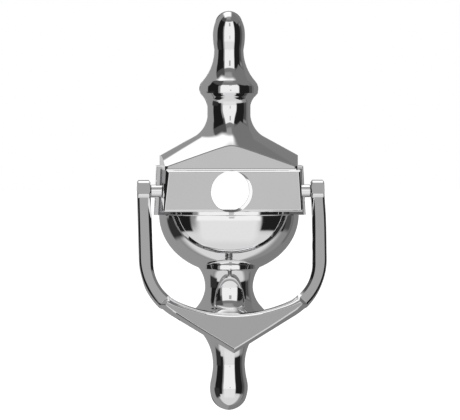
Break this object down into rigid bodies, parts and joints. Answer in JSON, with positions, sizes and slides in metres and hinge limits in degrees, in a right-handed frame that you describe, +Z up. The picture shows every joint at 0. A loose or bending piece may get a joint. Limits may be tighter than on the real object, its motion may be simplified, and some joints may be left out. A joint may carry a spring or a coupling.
{
  "type": "door knocker",
  "caption": "Urn-shaped door knocker: a hollow cast plate with a door-viewer hole and a swinging bail with an arrow-shaped hammer.",
  "frame": {"origin": "on the door face, on the axis of the hole for a door viewer", "axes": "+Z up along the knocker, +Y into the door, so the front faces -Y, and X along the pivot pins"},
  "size_m": [0.0904, 0.1009, 0.1951],
  "materials": {
    "chrome_casting": "polished",
    "chrome_bail": "polished",
    "zinc_steel": "zinc plated",
    "pin_steel": "ground",
    "black_steel": "black oxide",
    "nylon": "natural nylon",
    "foam": "closed-cell foam"
  },
  "bodies": {
    "plate": {"backplate": "chrome_casting", "strike_button": "zinc_steel", "fixing_stud_upper": "zinc_steel", "fixing_stud_lower": "zinc_steel", "pivot_pin_right": "pin_steel", "pivot_pin_left": "pin_steel", "pin_grub_screw_right": "black_steel", "pin_grub_screw_left": "black_steel", "back_gasket": "foam"},
    "knocker": {"knocker_bail": "chrome_bail", "pivot_bush_right": "nylon", "pivot_bush_left": "nylon"}
  },
  "joints": [
    {"name": "knocker_swing", "type": "hinge", "parent": "plate", "child": "knocker", "pos_m": [0, -0.014, 0], "axis": [-1, 0, 0], "range_deg": [0, 160]}
  ]
}
